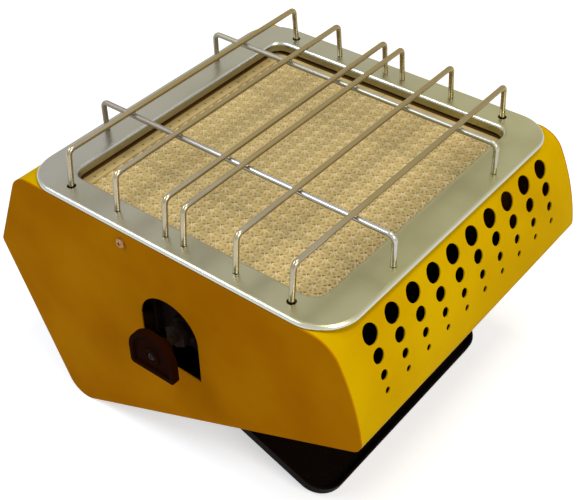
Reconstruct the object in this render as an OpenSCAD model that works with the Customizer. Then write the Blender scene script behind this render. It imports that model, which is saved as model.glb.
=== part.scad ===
// Portable propane heater that doubles as a cooker.
// A ceramic burner lies under a lift-off wire guard, in a bent sheet housing
// with two flat cheeks, and a folding foot levels the burner for cooking.
// Millimetres, +Z up. The perforated front faces -Y and the gas knob faces -X.
// Ground level is Z = 0 and the origin is the centre of the footprint box.

/* [Housing] */
// Width over the two side panels
body_w = 236; // [228:1:260]
// Height of the steel top plate above the ground with the foot out
cook_h = 178; // [170:1:190]
// Step from the top plate down to the housing's flat crown
crown_drop = 3.2; // [2.6:0.1:5]
// Front crown bend: distance of its centre in front of the burner's centre
crown_front = 102.5; // [102:0.5:108]
// Front crown bend radius
crown_front_r = 20; // [14:1:24]
// Rear crown bend: distance of its centre behind the burner's centre
crown_rear = 110.5; // [104:0.5:116]
// Rear crown bend radius
crown_rear_r = 16; // [8:1:18]
// Nose bend, low at the front: distance of its centre in front of the burner's centre
nose_out = 126.8; // [122:0.2:134]
// Nose bend: depth of its centre below the top plate
nose_drop = 65.3; // [60:0.1:72]
// Nose bend radius
nose_r = 9; // [5:0.5:12]
// Heel bend, at the bottom of the back: distance of its centre behind the burner's centre
heel_out = 92; // [86:1:98]
// Heel bend radius
heel_r = 15; // [10:1:20]
// Tail bend, rearmost: distance of its centre behind the burner's centre
tail_out = 142.8; // [138:0.2:150]
// Tail bend: depth of its centre below the top plate
tail_drop = 65.4; // [60:0.2:72]
// Tail bend radius
tail_r = 5; // [3:0.5:8]
// Radius of the gently bowed front face
bow_r = 150; // [130:5:200]
// Sheet thickness of the housing wrap
wrap_t = 0.8; // [0.6:0.1:1.2]
// Sheet thickness of the side panels
cheek_t = 1.0; // [0.8:0.1:1.5]
// Width of the side panels' turned-in flanges
cheek_flange = 7; // [5:0.5:8]
// Width of the wrap's two lips under the bottom
wrap_lip = 14; // [12:1:18]

/* [Front perforation] */
// Number of hole columns
hole_columns = 10; // [6:1:11]
// Spacing of the hole columns
hole_pitch = 20; // [16:1:20]
// Hole diameters from the top row down
hole_d = [12, 9, 6, 4]; // [3:1:13]
// Distance of each row below the top row, along the face
hole_row = [0, 13.8, 26, 36.4]; // [0:0.2:40]
// Distance of the top row's centres above the nose bend's end, along the face
hole_rise = 52.8; // [50:0.2:54]

/* [Top plate] */
// Distance of the plate's side edges in from the cheeks' faces
plate_inset = 0; // [0:0.5:3]
// Depth of the steel top plate, front to back
plate_d = 232; // [224:1:236]
// Corner radius of the top plate
plate_r = 25; // [15:1:35]
// Thickness of the top plate
plate_t = 0.9; // [0.7:0.1:1.2]
// Gap between the plate's rolled edge and the crown of the housing
edge_gap = 0.9; // [0.4:0.1:1.5]
// Width of the plate beside the burner opening
rim_side = 20.5; // [19:0.5:28]
// Width of the plate in front of and behind the burner opening
rim_ends = 24; // [22:0.5:30]
// Corner radius of the burner opening
mouth_r = 9; // [6:1:20]
// Bend radius round the burner opening
mouth_bend = 2.5; // [1.5:0.5:4]
// Gap between the opening's turned-down flange and the clamp that holds the tiles
flange_gap = 2.5; // [0.3:0.1:3]

/* [Burner] */
// Depth of the ceramic's surface below the top plate
tile_drop = 9.8; // [9.4:0.2:14]
// Thickness of the ceramic tiles
tile_t = 12; // [8:1:14]
// How far the ceramic reaches under the opening's flange
tile_reach = 0.6; // [0.3:0.1:2]
// Joint between the two ceramic tiles
tile_joint = 0.3; // [0.2:0.1:1]
// Width of the tiles' plain margin outside the dimpled field
tile_margin = 7.5; // [4:0.5:12]
// Depth of the dimpled field below the plain margin
tile_field = 0.6; // [0.3:0.1:1.5]
// Thickness of the fibre gasket round the tiles
gasket_t = 3.4; // [2:0.2:5]
// Sheet thickness of the burner tray and the fittings inside it
tray_t = 0.8; // [0.6:0.1:1.2]
// Depth of the burner tray's floor below the top plate
tray_drop = 40; // [36:1:42]
// Depth of the heat shield below the top plate
shield_drop = 47; // [45:0.5:49]
// Outer diameter of the mixing tube
mix_d = 24; // [18:1:28]
// Bend radius of the mixing tube's elbow
mix_bend = 20; // [16:1:22]

/* [Gas tap] */
// Distance of the tap's axis behind the burner's centre
tap_y = 0; // [-6:1:8]
// Depth of the tap's axis below the top plate
tap_drop = 69; // [67:0.5:72]
// Spindle diameter
spindle_d = 6; // [5:0.5:8]
// Reach of the knob's face outside the side panel
knob_reach = 18; // [15:1:24]
// Knob width
knob_w = 34.5; // [30:0.5:38]
// Depth of the knob's flat bottom edge below its axis
knob_foot = 13; // [11:0.5:18]
// Depth of the knob, front to back
knob_t = 5; // [4.5:0.5:10]
// Width of the raised rim round the knob's face
knob_rim = 3.2; // [2:0.2:5]
// Depth of the knob's recessed face below its rim
knob_recess = 1.4; // [1.2:0.1:2]
// Width of the window in the left side panel
window_w = 45; // [40:1:50]
// Distance of the window's centre behind the tap's axis
window_shift = 1; // [-3:0.5:3]
// Distance of the window's arch centre above the tap's axis
window_rise = 7; // [0:0.5:10]
// Distance of the window's flat sill below the tap's axis
window_sill = 22; // [18:0.5:26]
// Outside diameter of the gas inlet's stub
inlet_d = 13.16; // [10:0.02:16]
// Length of the gas inlet's stub
inlet_len = 12; // [9:0.5:13]
// Outside diameter of the gas pipe
pipe_d = 8; // [6:0.5:10]

/* [Wire guard] */
// Wire diameter
wire_d = 3.5; // [2:0.1:4]
// Distances of the long wires from the centre line, outermost first
wire_y = [82.1, 44.3, 6.8]; // [6:0.1:90]
// Distance of the long wires' feet from the plate's side edges
wire_in = 11; // [8:0.5:13]
// Height of the long wires' centre line above the top plate
wire_h = 23.8; // [20:0.2:40]
// Outward lean of the long wires' legs, in degrees
wire_lean = 5.6; // [0:0.2:8]
// Bend radius of the wires' centre line
wire_bend = 4; // [3.5:0.5:9]
// Distance of the two cross wires from the centre line
cross_x = 52.2; // [40:0.2:70]
// Distance of the cross wires' feet from the plate's front and rear edges
cross_in = 8; // [7:0.5:13]
// Diameter of the four locating holes for the corner legs
socket_d = 5.6; // [5:0.2:6]
// Depth that the corner legs reach below the plate's top
plug_depth = 7; // [4:0.5:7.5]

/* [Folding foot] */
// Distance of the foot's sides in from the cheeks' faces
foot_side = 25; // [21:1:40]
// Length of the foot from its hinge to its toe
foot_len = 111; // [104:1:114]
// Corner radius of the foot
foot_r = 18; // [8:1:30]
// Sheet thickness of the foot
foot_t = 1.5; // [1:0.1:2.5]
// Height of the foot's turned-up rim
foot_rim = 8.5; // [8:0.5:10]
// Bend radius at the foot's rim
foot_bend = 3; // [2:0.5:4]
// Distance of the hinge axis from the rear end of the foot
hinge_back = 6; // [5:0.5:8]
// Distance of the hinge axis in front of the heel bend's end, along the bottom
hinge_fwd = 86; // [80:1:90]
// Hinge pin diameter
pin_d = 4; // [3:0.5:4]
// Sheet thickness of the base pan
pan_t = 0.8; // [0.6:0.1:1.5]

/* [Fasteners] */
// Shank diameter of the screws
screw_d = 3.5; // [3:0.5:4]
// Head diameter of the screws
screw_head = 6.2; // [5.4:0.2:7]
// Head height of the screws
screw_head_t = 2; // [1.4:0.1:2.4]
// Thread length of the screws below the sheets they hold
screw_grip = 4; // [3:0.5:5]
// Distance of the side panels' screws behind the burner's centre
panel_screw_y = 32; // [20:1:45]
// Depth of the side panels' screws below the top plate
panel_screw_drop = 10.7; // [9:0.1:13]

/* [Hidden] */
$fn = 96;

// Gaps between pieces of the same body, and round what turns
seat_gap = 0.1;
run_gap = 0.05;
swing_gap = 2;
tuck = 0.004;
lap = 0.3;

// Colours
paint_yellow = [0.84, 0.62, 0.02];
black_steel = [0.07, 0.065, 0.06];
bright_steel = [0.72, 0.72, 0.68];
tray_steel = [0.55, 0.55, 0.53];
ceramic_tan = [0.80, 0.70, 0.50];
fibre_white = [0.88, 0.87, 0.82];
brass = [0.78, 0.62, 0.30];
copper = [0.75, 0.45, 0.30];
black_plastic = [0.05, 0.045, 0.04];

// ---------- Side profile ----------
// Section points are [y, z] from the centre of the top plate's upper face.
// A bend is [y, z, radius]; the list runs anticlockwise seen from +X.
bends = [
    [-crown_front, -crown_drop - crown_front_r, crown_front_r],
    [-nose_out, -nose_drop, nose_r],
    [heel_out, heel_r - cook_h, heel_r],
    [tail_out, -tail_drop, tail_r],
    [crown_rear, -crown_drop - crown_rear_r, crown_rear_r]
];
CROWN = 0;
NOSE = 1;
HEEL = 2;
TAIL = 3;

function centre(i) = [bends[i][0], bends[i][1]];
function right_of(v) = [v[1], -v[0]];
function unit(v) = v / norm(v);

// Outward normal of the straight side that leaves bend i for the next one
function side_normal(i) =
    let (j = (i + 1) % len(bends))
    let (span = centre(j) - centre(i))
    let (tilt = (bends[i][2] - bends[j][2]) / norm(span))
    tilt * unit(span) + sqrt(1 - tilt * tilt) * right_of(unit(span));

// Centre of the bowed front, whose arc runs tangent into the crown and nose bends
bow_centre =
    let (span = centre(NOSE) - centre(CROWN))
    let (near = bow_r - crown_front_r)
    let (far = bow_r - nose_r)
    let (along = (near * near - far * far + span * span) / (2 * norm(span)))
    centre(CROWN) + along * unit(span) - sqrt(near * near - along * along) * right_of(unit(span));
bow_top = unit(centre(CROWN) - bow_centre);
bow_foot = unit(centre(NOSE) - bow_centre);

function normal_out(i) = i == CROWN ? bow_top : side_normal(i);
function normal_in(i) = i == NOSE ? bow_foot : side_normal((i + len(bends) - 1) % len(bends));
function outline(inset) = [
    for (i = [0 : len(bends) - 1])
        for (n = [normal_in(i), normal_out(i)])
            centre(i) + (bends[i][2] - inset) * n
];

// The side profile, moved inwards by inset. The flats and the bow are tucked in a hair
// further than the bends, so that each of them ends in a clean crossing with its bend.
module body_section(inset) {
    chord_out = right_of(unit(centre(NOSE) - centre(CROWN)));
    bow_reach = bow_r / 4;
    bow_in = bow_r - inset - tuck;
    arc_top = bow_centre + bow_in * bow_top;
    arc_foot = bow_centre + bow_in * bow_foot;
    polygon(outline(inset + tuck));
    for (bend = bends) {
        translate([bend[0], bend[1]]) circle(bend[2] - inset);
    }
    intersection() {
        translate(bow_centre) circle(bow_in, $fn = 360);
        polygon([arc_top, arc_foot, arc_foot + bow_reach * chord_out, arc_top + bow_reach * chord_out]);
    }
}

// Extrudes a section along X from x0
module along_x(x0, length) {
    translate([x0, 0, 0]) rotate([90, 0, 90]) linear_extrude(length) children();
}

// ---------- Frames ----------
// The bottom face runs from the heel bend's end up to the nose bend's end
bottom_normal = side_normal(HEEL - 1);
bottom_rear = centre(HEEL) + heel_r * bottom_normal;
bottom_front = centre(NOSE) + nose_r * bottom_normal;
bottom_len = norm(bottom_front - bottom_rear);
bottom_slope = asin((bottom_front[1] - bottom_rear[1]) / bottom_len);

// Local -Y runs forward along the bottom, local +Z points into the housing
module on_bottom() {
    translate([0, bottom_rear[0], bottom_rear[1]]) rotate([-bottom_slope, 0, 0]) children();
}

// The gas inlet stands square to the lower back, in line with the tap's inlet port
back_normal = side_normal(HEEL);
back_angle = asin(-back_normal[1]);
tap_axis = [tap_y, -tap_drop];
back_distance = back_normal * (centre(HEEL) - tap_axis) + heel_r;

// Local +Z runs from the tap's axis out through the lower back
module on_inlet_axis() {
    translate([valve_mid, tap_y, -tap_drop]) rotate([-90 - back_angle, 0, 0]) children();
}

// ---------- Derived sizes ----------
cheek_in = body_w / 2 - cheek_t;
plate_w = body_w - 2 * plate_inset;
mouth_w = plate_w - 2 * rim_side;
mouth_d = plate_d - 2 * rim_ends;
mouth_flange = tile_drop - seat_gap - tray_t - flange_gap;
wire_foot = plate_w / 2 - wire_in;
cross_foot = plate_d / 2 - cross_in;
foot_w = body_w - 2 * foot_side;
wrap_len = 2 * cheek_in;
crown_under = crown_drop + wrap_t;
tile_w = mouth_w + 2 * tile_reach;
tile_d = mouth_d + 2 * tile_reach;
tray_in_w = tile_w + 2 * gasket_t;
tray_in_d = tile_d + 2 * gasket_t;
tray_w = tray_in_w + 2 * tray_t;
tray_d = tray_in_d + 2 * tray_t;
tile_top_r = 2;
tray_top = crown_under + seat_gap;
crown_cut_w = tray_w - 2 * tray_t;
crown_cut_d = tray_d - 2 * tray_t;

// Tap along X, from the outside in
knob_face = -body_w / 2 - knob_reach;
bracket_t = 1.5;
bracket_x = -tray_w / 2 - seat_gap - bracket_t;
valve_x = bracket_x + bracket_t;
valve_len = 24;
valve_d = 18;
valve_mid = valve_x + valve_len / 2;
neck_d = 10;
neck_len = 9.5;
lock_t = 3.5;
gland_t = 5;
gland_cap = 2;
gland_x = valve_x - neck_len - gland_t + gland_cap;
spindle_in = 8;
nose_len = 8;
jet_hex = 11;
jet_len = 8;
jet_gap = 6;
jet_x = valve_x + valve_len;
mix_x = jet_x + jet_len + jet_gap;
mix_run = 72;
mix_t = 0.8;

pin_nut_flats = 7;
pin_nut_t = 3.2;
hinge_in = wrap_t + pan_t + 4 * seat_gap + pin_nut_flats / 2;
hinge_r = foot_bend + 0.5;
foot_lift = 0.5;
washer_t = 2;
well_w = foot_w + 2 * (washer_t + 2 * seat_gap);
pan_w = wrap_len - 2 * (cheek_flange + 0.5);

// Angle of the foot below level when its toe stands on the ground
hinge_pt = bottom_rear + hinge_fwd * unit(bottom_front - bottom_rear) - hinge_in * bottom_normal;
toe_vec = [foot_len - foot_bend, hinge_in - foot_lift - foot_bend];
foot_dip = asin((hinge_pt[1] + cook_h - foot_bend) / norm(toe_vec)) - atan2(toe_vec[1], toe_vec[0]);
foot_open = bottom_slope + foot_dip;

// The open foot's rear rim comes up against the roof of its well, which stops it
rim_top = foot_rim + foot_lift - hinge_in;
stop_rise = hinge_back * sin(foot_open) + rim_top * cos(foot_open);
well_roof = hinge_in + stop_rise + 0.3;

// Footprint box, so that the origin is at its bottom centre
box_left = knob_face;
box_right = body_w / 2 + screw_head_t;
box_front = -(nose_out + nose_r);
box_rear = tail_out + tail_r;
place = [-(box_left + box_right) / 2, -(box_front + box_rear) / 2, cook_h];

// ---------- General shapes ----------
// A rectangle with rounded corners; the two rear ones may have a radius of their own
module plan_rect(w, d, r, rear_r = undef) {
    b = is_undef(rear_r) ? r : rear_r;
    x = w / 2;
    y = d / 2;
    polygon([[x, y - b], [x - b, y], [b - x, y], [-x, y - b], [-x, r - y], [r - x, -y], [x - r, -y], [x, r - y]]);
    for (sx = [-1, 1]) {
        translate([sx * (x - r), r - y]) circle(r);
        translate([sx * (x - b), y - b]) circle(b);
    }
}

// A slab from z0 upwards with a rounded plan
module slab(w, d, r, z0, t, rear_r = undef) {
    translate([0, 0, z0]) linear_extrude(t) plan_rect(w, d, r, rear_r);
}

// A rounded frame between two rounded plans
module ring_slab(w, d, r, w_in, d_in, r_in, z0, t) {
    translate([0, 0, z0]) linear_extrude(t) difference() {
        plan_rect(w, d, r);
        plan_rect(w_in, d_in, r_in);
    }
}

// Sweeps a profile round a rounded rectangle; profile X is zero at its edge and negative inside
module rim_sweep(w, d, r, rear_r = undef) {
    b = is_undef(rear_r) ? r : rear_r;
    radii = [b, b, r, r];
    for (q = [0 : 3]) {
        edge = (q % 2 == 0 ? w : d) / 2;
        run = q % 2 == 0 ? d : w;
        start = radii[q];
        end = radii[(q + 3) % 4];
        rotate(90 * q) {
            translate([edge - start, run / 2 - start, 0]) rotate_extrude(angle = 90) translate([start, 0]) children();
            translate([edge, run / 2 - start, 0]) rotate([90, 0, 0]) linear_extrude(run - start - end) children();
        }
    }
}

// Quarter of a ring: the outer radius is big, the wall is t, quadrant q counts from +X +Y
module quarter_ring(big, t, q) {
    rotate(90 * q) intersection() {
        difference() {
            circle(big);
            circle(big - t);
        }
        square(big);
    }
}

module x_cylinder(x0, length, r) {
    translate([x0, 0, 0]) rotate([0, 90, 0]) cylinder(h = length, r = r);
}

module x_hex(x0, length, flats) {
    translate([x0, 0, 0]) rotate([0, 90, 0]) cylinder(h = length, d = flats / cos(30), $fn = 6);
}

// A pan-head screw: head above z = 0, shank below
module pan_screw(head_d, head_t, shank_d, shank_len) {
    difference() {
        union() {
            cylinder(h = head_t * 0.6, d = head_d);
            translate([0, 0, head_t * 0.6]) cylinder(h = head_t * 0.4, d1 = head_d, d2 = head_d * 0.72);
            translate([0, 0, -shank_len]) cylinder(h = shank_len, d = shank_d);
        }
        for (a = [0, 90]) {
            rotate(a) translate([-head_d * 0.27, -head_d * 0.06, head_t * 0.45])
                cube([head_d * 0.54, head_d * 0.12, head_t]);
        }
    }
}

// ---------- Housing ----------
// One bent sheet: crown, bowed front, nose, heel, lower and upper back
module housing_wrap() {
    color(paint_yellow) difference() {
        along_x(-cheek_in, wrap_len) difference() {
            body_section(0);
            body_section(wrap_t);
        }
        crown_openings();
        on_bottom() bottom_opening();
        front_holes();
        on_inlet_axis() translate([0, 0, back_distance - 5]) cylinder(h = 10, d = inlet_d + 1);
    }
}

module crown_openings() {
    slab(crown_cut_w, crown_cut_d, mouth_r, -crown_under - 2, 6);
    for (sx = [-1, 1], sy = [-1, 1]) {
        translate([sx * wire_foot, sy * wire_y[0], -crown_under - 2]) cylinder(h = 6, d = socket_d + 1);
        translate([sx * burner_screw_x, sy * burner_screw_y, -crown_under - 2]) cylinder(h = 6, d = screw_d + 0.2);
    }
}

// Leaves a lip at the heel and at the nose, drilled and countersunk for the base screws
module bottom_opening() {
    translate([-cheek_in - 1, -bottom_len + wrap_lip, -2])
        cube([wrap_len + 2, bottom_len - 2 * wrap_lip, wrap_t + 4]);
    base_screw_places() countersink();
}

module front_holes() {
    for (row = [0 : len(hole_d) - 1]) {
        along = hole_rise - hole_row[row];
        turn = atan2(bow_foot[1], -bow_foot[0]) + along / bow_r * 180 / PI;
        for (col = [0 : hole_columns - 1]) {
            translate([(col - (hole_columns - 1) / 2) * hole_pitch, bow_centre[0], bow_centre[1]])
                rotate([90 - turn, 0, 0])
                    translate([0, 0, bow_r - 8]) cylinder(h = 16, d = hole_d[row]);
        }
    }
}

// A flat cheek with flanges turned in behind the wrap along its straight sides
module side_panel() {
    flange_out = wrap_t + seat_gap;
    difference() {
        union() {
            along_x(-body_w / 2, cheek_t) body_section(0);
            along_x(-cheek_in, cheek_flange) difference() {
                body_section(flange_out);
                body_section(flange_out + cheek_t);
                for (bend = bends) {
                    translate([bend[0], bend[1]]) circle(bend[2] + 2);
                }
                translate([-tray_flange_y - 2, -crown_under - 3]) square([2 * tray_flange_y + 4, 5]);
            }
        }
        translate([-body_w / 2 - 1, panel_screw_y, -panel_screw_drop])
            x_cylinder(0, cheek_t + 2, screw_d / 2 + seat_gap);
    }
}

module window_section() {
    arch_z = window_rise - tap_drop;
    window_y = tap_y + window_shift;
    translate([window_y, arch_z]) circle(window_w / 2);
    translate([window_y - window_w / 2, -tap_drop - window_sill])
        square([window_w, window_rise + window_sill]);
}

module side_panel_left() {
    color(paint_yellow) difference() {
        side_panel();
        along_x(-body_w / 2 - 1, cheek_t + 2) window_section();
    }
}

module side_panel_right() {
    color(paint_yellow) mirror([1, 0, 0]) side_panel();
}

// Closes the bottom between the wrap's lips, with a pressed well for the folded foot
module base_pan() {
    pan_d = bottom_len - 4;
    well_back = hinge_fwd - hinge_back - swing_gap;
    well_len = foot_len + hinge_back + 2 * swing_gap;
    well_at = -(well_back + well_len / 2);
    front_r = foot_r + swing_gap;
    z0 = wrap_t + seat_gap;
    color(black_steel) on_bottom() difference() {
        union() {
            translate([0, -bottom_len / 2, 0]) slab(pan_w, pan_d, 3, z0, pan_t);
            translate([0, well_at, 0])
                slab(well_w + 2 * pan_t, well_len + 2 * pan_t, front_r + pan_t, z0, well_roof + pan_t - z0, 2 * pan_t);
        }
        translate([0, well_at, 0]) slab(well_w, well_len, front_r, -1, well_roof + 1, pan_t);
        translate([0, -hinge_fwd, hinge_in]) x_cylinder(-well_w, 2 * well_w, pin_d / 2 + run_gap);
        base_screw_places() countersink();
    }
}

// ---------- Top plate ----------
// Pressed steel plate with a rolled outer edge and a flanged mouth over the burner.
// A strip welded inside the rolled edge stands on the crown.
module top_plate() {
    hem = crown_drop - edge_gap;
    seat_in = hem + 0.5;
    color(bright_steel) difference() {
        union() {
            ring_slab(
                plate_w - 2 * hem, plate_d - 2 * hem, plate_r - hem,
                mouth_w + 2 * mouth_bend, mouth_d + 2 * mouth_bend, mouth_r + mouth_bend,
                -plate_t, plate_t
            );
            rim_sweep(plate_w, plate_d, plate_r) translate([-hem, -hem]) quarter_ring(hem, plate_t, 0);
            rim_sweep(plate_w - 2 * seat_in, plate_d - 2 * seat_in, plate_r - seat_in)
                translate([-plate_t, -crown_drop]) square([plate_t, crown_drop - plate_t / 2]);
            rim_sweep(mouth_w, mouth_d, mouth_r) {
                translate([mouth_bend, -mouth_bend]) quarter_ring(mouth_bend, plate_t, 1);
                translate([0, -mouth_flange]) square([plate_t, mouth_flange - mouth_bend]);
            }
        }
        for (sx = [-1, 1], sy = [-1, 1]) {
            translate([sx * wire_foot, sy * wire_y[0], -plate_t - 1]) cylinder(h = plate_t + 2, d = socket_d);
        }
    }
}

// ---------- Burner ----------
tray_flange_w = screw_head + 1;
burner_screw_x = tray_w / 2 + tray_flange_w / 2;
burner_screw_y = tray_d * 0.31;
tray_flange_y = burner_screw_y + 2 * screw_head;
tab_w = 24;
tab_drop = panel_screw_drop + screw_head + 1;
mix_up_x = mix_x + mix_run + mix_bend;

// Pressed tray that holds the tiles; its side flanges hang from the crown and carry the panel screws
module burner_tray() {
    tab_x = cheek_in - seat_gap;
    color(tray_steel) difference() {
        union() {
            slab(tray_w, tray_d, mouth_r + tray_t, -tray_drop - tray_t, tray_drop + tray_t - tray_top);
            for (sx = [-1, 1]) {
                translate([sx > 0 ? tray_w / 2 - 1 : -tray_w / 2 - tray_flange_w, -tray_flange_y, -tray_top - tray_t])
                    cube([tray_flange_w + 1, 2 * tray_flange_y, tray_t]);
                translate([sx > 0 ? tray_w / 2 - 1 : -tab_x, panel_screw_y - tab_w / 2, -tray_top - tray_t])
                    cube([tab_x - tray_w / 2 + 1, tab_w, tray_t]);
                translate([sx > 0 ? tab_x - tray_t : -tab_x, panel_screw_y - tab_w / 2, -tab_drop])
                    cube([tray_t, tab_w, tab_drop - tray_top]);
            }
        }
        slab(tray_in_w, tray_in_d, mouth_r, -tray_drop, tray_drop + 1);
        translate([mix_up_x, tap_y, -tray_drop - tray_t - 1]) cylinder(h = tray_t + 2, d = mix_d + 2 * seat_gap);
        translate([-body_w / 2, panel_screw_y, -panel_screw_drop]) x_cylinder(0, body_w, screw_d / 2 + seat_gap);
        for (sx = [-1, 1], sy = [-1, 1]) {
            translate([sx * burner_screw_x, sy * burner_screw_y, -tray_top - tray_t - 1])
                cylinder(h = tray_t + 2, d = screw_d + 0.2);
            translate([sx * shield_screw_x, sy * shield_screw_y, -tray_drop - tray_t - 1])
                cylinder(h = tray_t + 2, d = screw_d + 0.2);
        }
        bracket_screw_places() x_cylinder(-2, 6, screw_d / 2 + seat_gap);
    }
}

ledge_w = 8;
ledge_h = 7;

// Angle ring under the tiles
module tile_ledge() {
    z_top = -tile_drop - tile_t - seat_gap;
    w = tray_in_w - 2 * seat_gap;
    d = tray_in_d - 2 * seat_gap;
    color(tray_steel) {
        ring_slab(w, d, mouth_r, w - 2 * ledge_w, d - 2 * ledge_w, 3, z_top - tray_t, tray_t);
        ring_slab(w, d, mouth_r, w - 2 * tray_t, d - 2 * tray_t, mouth_r - tray_t, z_top - ledge_h, ledge_h - tray_t);
    }
}

module tile_gasket() {
    color(fibre_white) ring_slab(
        tray_in_w - 2 * seat_gap, tray_in_d - 2 * seat_gap, mouth_r,
        tile_w + 2 * seat_gap, tile_d + 2 * seat_gap, tile_top_r,
        -tile_drop - tile_t, tile_t - 0.4
    );
}

// Frame that holds the tiles down from above, hidden under the mouth's flange
module tile_clamp() {
    w = tray_in_w - 2 * seat_gap;
    d = tray_in_d - 2 * seat_gap;
    z0 = -tile_drop + seat_gap;
    color(tray_steel) {
        ring_slab(w, d, mouth_r, mouth_w + 2 * seat_gap, mouth_d + 2 * seat_gap, 2, z0, tray_t);
        ring_slab(w, d, mouth_r, w - 2 * tray_t, d - 2 * tray_t, mouth_r - tray_t, z0 + tray_t, 2.4);
    }
}

// Half of the burner's face; side is -1 for the front tile and 1 for the rear one
module ceramic_tile(side) {
    half = tile_d / 2 - tile_joint / 2;
    field_w = tile_w - 2 * tile_margin;
    field_d = tile_d / 2 - tile_margin;
    color(ceramic_tan) difference() {
        translate([0, side * (half + tile_joint) / 2, 0]) slab(tile_w, half, tile_top_r, -tile_drop - tile_t, tile_t);
        translate([-field_w / 2, side > 0 ? -1 : -field_d, -tile_drop - tile_field])
            cube([field_w, field_d + 1, tile_field + 1]);
    }
}

// Perforated plate that spreads the mixture under the tiles
module diffuser_plate() {
    z0 = -(tile_drop + tile_t + tray_drop) / 2 - 2;
    pitch = 24;
    leg = 6;
    w = tray_in_w - 2;
    d = tray_in_d - 2;
    color(tray_steel) {
        difference() {
            slab(w, d, mouth_r, z0, tray_t);
            for (i = [-3 : 3], j = [-3 : 3]) {
                translate([i * pitch, j * pitch, z0 - 1]) cylinder(h = tray_t + 2, d = 8);
            }
        }
        for (sx = [-1, 1], sy = [-1, 1]) {
            translate([sx * (w / 2 - 2 * leg), sy * (d / 2 - 2 * leg), -tray_drop + seat_gap])
                cylinder(h = z0 + tray_drop - seat_gap, d = leg);
        }
    }
}

shield_screw_in = 18;
shield_screw_x = tray_w / 2 - shield_screw_in;
shield_screw_y = tray_d / 2 - shield_screw_in;

// Sheet that keeps the burner's heat off the tap and the base
module heat_shield() {
    w = tray_w - 14;
    d = tray_d - 8;
    lip = 7;
    color(tray_steel) difference() {
        slab(w, d, 6, -shield_drop - lip, lip);
        slab(w - 2 * tray_t, d - 2 * tray_t, 6 - tray_t, -shield_drop - lip - 1, lip + 1 - tray_t);
        translate([mix_up_x, tap_y, -shield_drop - tray_t - 1]) cylinder(h = tray_t + 2, d = mix_d + 4);
        for (sx = [-1, 1], sy = [-1, 1]) {
            translate([sx * shield_screw_x, sy * shield_screw_y, -shield_drop - tray_t - 1])
                cylinder(h = tray_t + 2, d = screw_d + 0.2);
        }
    }
}

module shield_spacers() {
    gap = shield_drop - tray_drop - tray_t;
    color(bright_steel) for (sx = [-1, 1], sy = [-1, 1]) {
        translate([sx * shield_screw_x, sy * shield_screw_y, -shield_drop + seat_gap / 2]) difference() {
            cylinder(h = gap - seat_gap, d = 8);
            translate([0, 0, -1]) cylinder(h = gap + 2, d = screw_d + 0.2);
        }
    }
}

// Bell-mouthed tube that draws air in beside the jet and turns up into the tray
module mixing_tube() {
    bell = 4;
    riser = tap_drop - mix_bend - tray_drop;
    color(tray_steel) translate([0, tap_y, -tap_drop]) difference() {
        union() {
            translate([mix_x, 0, 0]) rotate([0, 90, 0]) cylinder(h = bell, r1 = mix_d / 2 + bell, r2 = mix_d / 2);
            x_cylinder(mix_x + bell, mix_run - bell, mix_d / 2);
            mix_elbow(mix_d / 2);
            translate([mix_up_x, 0, mix_bend]) cylinder(h = riser + 2, d = mix_d);
            translate([mix_up_x, 0, mix_bend + riser - tray_t - tray_t - seat_gap]) cylinder(h = tray_t, d = mix_d + 3);
        }
        translate([mix_x, 0, 0]) rotate([0, 90, 0]) translate([0, 0, -0.01])
            cylinder(h = bell + 0.01, r1 = mix_d / 2 + bell - mix_t, r2 = mix_d / 2 - mix_t);
        x_cylinder(mix_x + bell, mix_run - bell, mix_d / 2 - mix_t);
        mix_elbow(mix_d / 2 - mix_t);
        translate([mix_up_x, 0, mix_bend]) cylinder(h = riser + 3, d = mix_d - 2 * mix_t);
    }
}

module mix_elbow(r) {
    translate([mix_x + mix_run, 0, mix_bend]) rotate([90, 0, 0]) rotate([0, 0, -90])
        rotate_extrude(angle = 90) translate([mix_bend, 0]) circle(r);
}

// ---------- Gas tap ----------
module at_tap() {
    translate([0, tap_y, -tap_drop]) children();
}

port_len = 17;

module valve_body() {
    color(brass) difference() {
        union() {
            at_tap() {
                x_cylinder(valve_x, valve_len, valve_d / 2);
                x_hex(valve_x, 6, valve_d + 2);
                x_cylinder(valve_x - neck_len, neck_len, neck_d / 2);
                x_cylinder(valve_x + valve_len, nose_len - 2, neck_d / 2 - 1);
            }
            on_inlet_axis() cylinder(h = port_len, d = inlet_d);
        }
        at_tap() {
            x_cylinder(valve_x - neck_len - 1, neck_len + 1 + spindle_in, spindle_d / 2 + run_gap);
            x_cylinder(valve_mid, valve_len, 2);
        }
        on_inlet_axis() cylinder(h = port_len + 1, d = 3);
        on_inlet_axis() translate([0, 0, port_len - 5]) cylinder(h = 6, d = pipe_d + 2 * seat_gap);
    }
}

// Screwed on the tap's outlet; blows the gas into the mixing tube
module gas_jet() {
    color(brass) at_tap() difference() {
        union() {
            x_hex(jet_x + 1, jet_len - 2, jet_hex);
            translate([jet_x + jet_len - 1, 0, 0]) rotate([0, 90, 0]) cylinder(h = 4, r1 = 4, r2 = 2);
        }
        x_cylinder(jet_x, nose_len - 2 + seat_gap, neck_d / 2 - 1 + seat_gap);
        x_cylinder(jet_x, jet_len + 4, 0.5);
    }
}

module gland_nut() {
    color(brass) at_tap() difference() {
        x_hex(gland_x, gland_t, 14);
        x_cylinder(gland_x - 1, gland_t + 2, spindle_d / 2 + run_gap);
        x_cylinder(gland_x + gland_t - gland_cap - seat_gap, gland_cap + 1, neck_d / 2 + seat_gap);
    }
}

module valve_lock_nut() {
    color(bright_steel) at_tap() difference() {
        x_hex(bracket_x - seat_gap - lock_t, lock_t, 17);
        x_cylinder(bracket_x - lock_t - 1, lock_t + 2, neck_d / 2 + seat_gap);
    }
}

bracket_rise = tap_drop - tray_drop + screw_d;
bracket_w = 44;

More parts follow.
